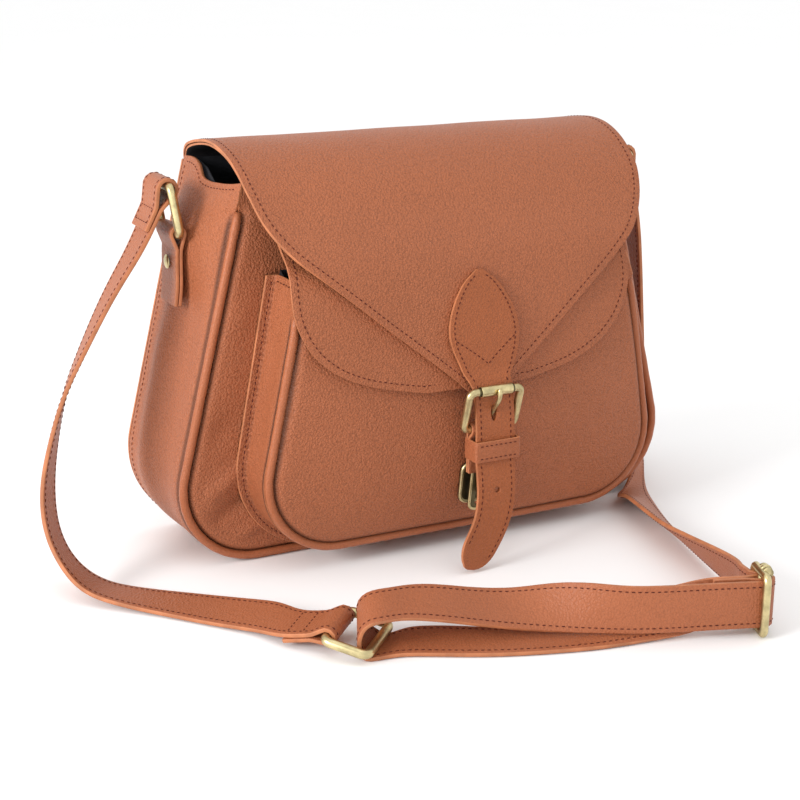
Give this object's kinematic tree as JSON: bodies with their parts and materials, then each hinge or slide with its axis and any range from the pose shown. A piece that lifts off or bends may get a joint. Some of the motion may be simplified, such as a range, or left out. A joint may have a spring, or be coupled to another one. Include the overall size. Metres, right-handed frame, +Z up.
{
  "type": "leather crossbody bag",
  "caption": "Soft leather crossbody bag with a rounded flap, a front pocket under its own flap, a buckled closure strap with a turn lock, and an adjustable shoulder strap.",
  "frame": {"origin": "centre of the bag's base, on the surface it stands on", "axes": "+X along the bag to the right as seen from its front, +Y to its back, +Z up"},
  "size_m": [0.3825, 0.2765, 0.2224],
  "materials": {
    "leather": "tan pebbled grain, satin",
    "piping": "tan, drawn smooth",
    "lining": "dark woven lining",
    "board": "matt board",
    "hardware": "antique brass, brushed bright on its edges"
  },
  "bodies": {
    "bag": {"back_panel": "leather", "front_panel": "leather", "main_gusset": "leather", "front_piping": "piping", "main_lining": "lining", "base_stiffener": "board", "flap_root": "leather", "pocket_panel": "leather", "pocket_gusset": "leather", "pocket_piping": "piping", "pocket_lining": "lining", "pocket_flap_root": "leather", "lock_plate": "hardware", "side_tab_left": "leather", "side_tab_right": "leather", "tab_rivet_left": "hardware", "tab_rivet_right": "hardware", "short_strap": "leather", "long_strap": "leather", "strap_slider": "hardware"},
    "main_flap": {"main_flap_outer": "leather", "main_flap_lining": "lining", "closure_strap": "leather", "buckle_frame": "hardware", "buckle_chape": "leather", "strap_keeper": "leather", "lock_eyelet": "hardware"},
    "pocket_flap": {"pocket_flap_outer": "leather", "pocket_flap_lining": "lining"},
    "toggle": {"lock_toggle": "hardware"},
    "prong": {"buckle_prong": "hardware"},
    "roller": {"buckle_roller": "hardware"},
    "left_ring": {"side_ring_left": "hardware"},
    "right_ring": {"side_ring_right": "hardware"},
    "joining_ring": {"strap_ring": "hardware"}
  },
  "joints": [
    {"name": "main_flap_hinge", "type": "hinge", "parent": "bag", "child": "main_flap", "pos_m": [0, 0.03945, 0.204], "axis": [-1, 0, 0], "range_deg": [0, 180]},
    {"name": "pocket_flap_hinge", "type": "hinge", "parent": "bag", "child": "pocket_flap", "pos_m": [0.004, -0.03945, 0.187], "axis": [-1, 0, 0], "range_deg": [0, 108]},
    {"name": "lock_turn", "type": "hinge", "parent": "bag", "child": "toggle", "pos_m": [0.004, -0.07705, 0.04069], "axis": [0, -0.9848, -0.1736], "range_deg": [0, 90]},
    {"name": "prong_hinge", "type": "hinge", "parent": "main_flap", "child": "prong", "pos_m": [0.004, -0.088, 0.075], "axis": [1, 0, 0], "range_deg": [0, 6]},
    {"name": "roller_spin", "type": "hinge", "parent": "main_flap", "child": "roller", "pos_m": [0.004, -0.095, 0.097], "axis": [1, 0, 0], "continuous": true},
    {"name": "left_ring_swing", "type": "hinge", "parent": "bag", "child": "left_ring", "pos_m": [-0.1365, 0.0045, 0.176], "axis": [0, 1, 0], "range_deg": [-3, 1]},
    {"name": "right_ring_swing", "type": "hinge", "parent": "bag", "child": "right_ring", "pos_m": [0.1365, 0.0045, 0.176], "axis": [0, 1, 0], "range_deg": [-1, 3]},
    {"name": "joining_ring_swing", "type": "hinge", "parent": "bag", "child": "joining_ring", "pos_m": [-0.11317, -0.1504, 0.01049], "axis": [0.7311, 0.6764, 0.0892], "range_deg": [-4, 0]}
  ],
  "couplings": [
    {"joint": "pocket_flap_hinge", "follows": "main_flap_hinge", "ratio": 0.6}
  ]
}
